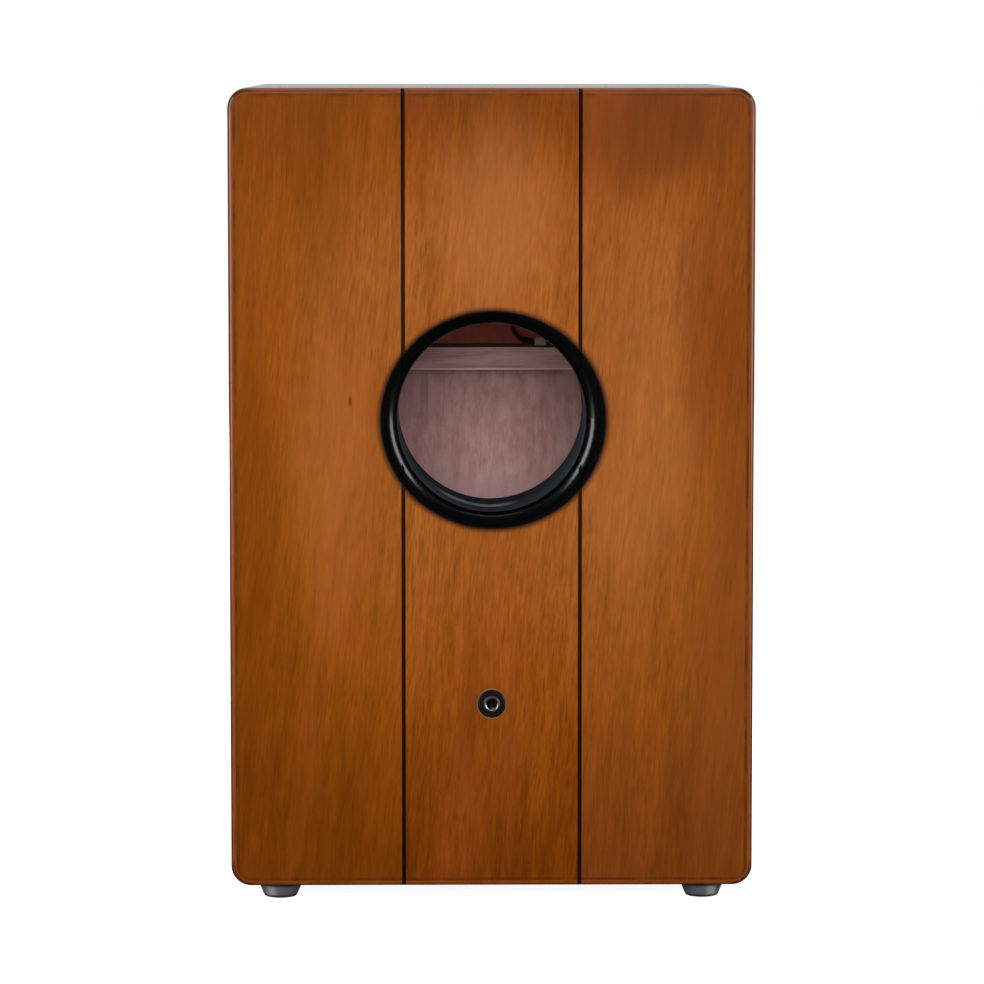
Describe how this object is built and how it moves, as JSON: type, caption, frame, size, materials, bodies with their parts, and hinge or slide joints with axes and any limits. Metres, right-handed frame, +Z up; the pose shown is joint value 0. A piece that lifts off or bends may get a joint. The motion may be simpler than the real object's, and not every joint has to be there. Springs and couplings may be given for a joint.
{
  "type": "cajon",
  "caption": "Upright wooden box drum with a flared round rear sound port, thin front playing board, snare wires inside, rubber feet and an output jack.",
  "frame": {"origin": "on the floor, under the middle of the box", "axes": "+Z up, +Y towards the playing board (tapa), -Y towards the rear panel with the sound port and the jack, +X to the right as seen from the rear"},
  "size_m": [0.3, 0.304, 0.4685],
  "materials": {
    "lacquered_wood": "gloss lacquer over orange-brown stain",
    "tapa_wood": "gloss lacquer outside, bare veneer inside",
    "bare_wood": "sanded, uncoated",
    "port_black": "gloss black",
    "foot_rubber": "satin black",
    "zinc_steel": "zinc plated",
    "black_screw": "black oxide",
    "spring_steel": "bright wire",
    "nickel": "polished nickel",
    "nut_plastic": "moulded black",
    "phenolic": "laminate board",
    "brass": "polished",
    "ceramic": "fired, silvered",
    "foam": "closed-cell foam",
    "lead_jacket": "soft dark jacket",
    "clip_nylon": "natural nylon"
  },
  "bodies": {
    "box": {"rear_panel": "lacquered_wood", "top_panel": "lacquered_wood", "bottom_panel": "lacquered_wood", "left_panel": "lacquered_wood", "right_panel": "lacquered_wood", "tapa": "tapa_wood", "port_tube": "port_black", "liner_top": "bare_wood", "liner_bottom": "bare_wood", "liner_left": "bare_wood", "liner_right": "bare_wood", "glue_strip_top_left": "bare_wood", "glue_strip_top_right": "bare_wood", "glue_strip_bottom_left": "bare_wood", "glue_strip_bottom_right": "bare_wood", "snare_bar": "bare_wood", "bar_block_left": "bare_wood", "bar_block_right": "bare_wood", "bar_screws": "zinc_steel", "bracket_screws": "zinc_steel", "snare_bracket_left": "zinc_steel", "snare_bracket_right": "zinc_steel", "snare_wires_left": "spring_steel", "snare_wires_right": "spring_steel", "tapa_screws": "black_screw", "foot_rear_left": "foot_rubber", "foot_rear_right": "foot_rubber", "foot_front_left": "foot_rubber", "foot_front_right": "foot_rubber", "foot_washers": "zinc_steel", "foot_screws": "zinc_steel", "pickup_disc": "brass", "pickup_ceramic": "ceramic", "pickup_pad": "foam", "pickup_lead": "lead_jacket", "lead_clips": "clip_nylon", "clip_nails": "zinc_steel", "jack_nut": "nut_plastic", "jack_barrel": "nickel", "jack_lock_washer": "nickel", "jack_frame": "nickel", "jack_insulators": "phenolic", "jack_tip_lug": "nickel", "jack_rivet": "nickel"},
    "tip_spring": {"jack_tip_spring": "nickel"}
  },
  "joints": [
    {"name": "tip_spring_flex", "type": "hinge", "parent": "box", "child": "tip_spring", "pos_m": [0, -0.1322, 0.1098], "axis": [-1, 0, 0], "range_deg": [0, 7], "stiffness_Nm_per_rad": 0.05}
  ]
}
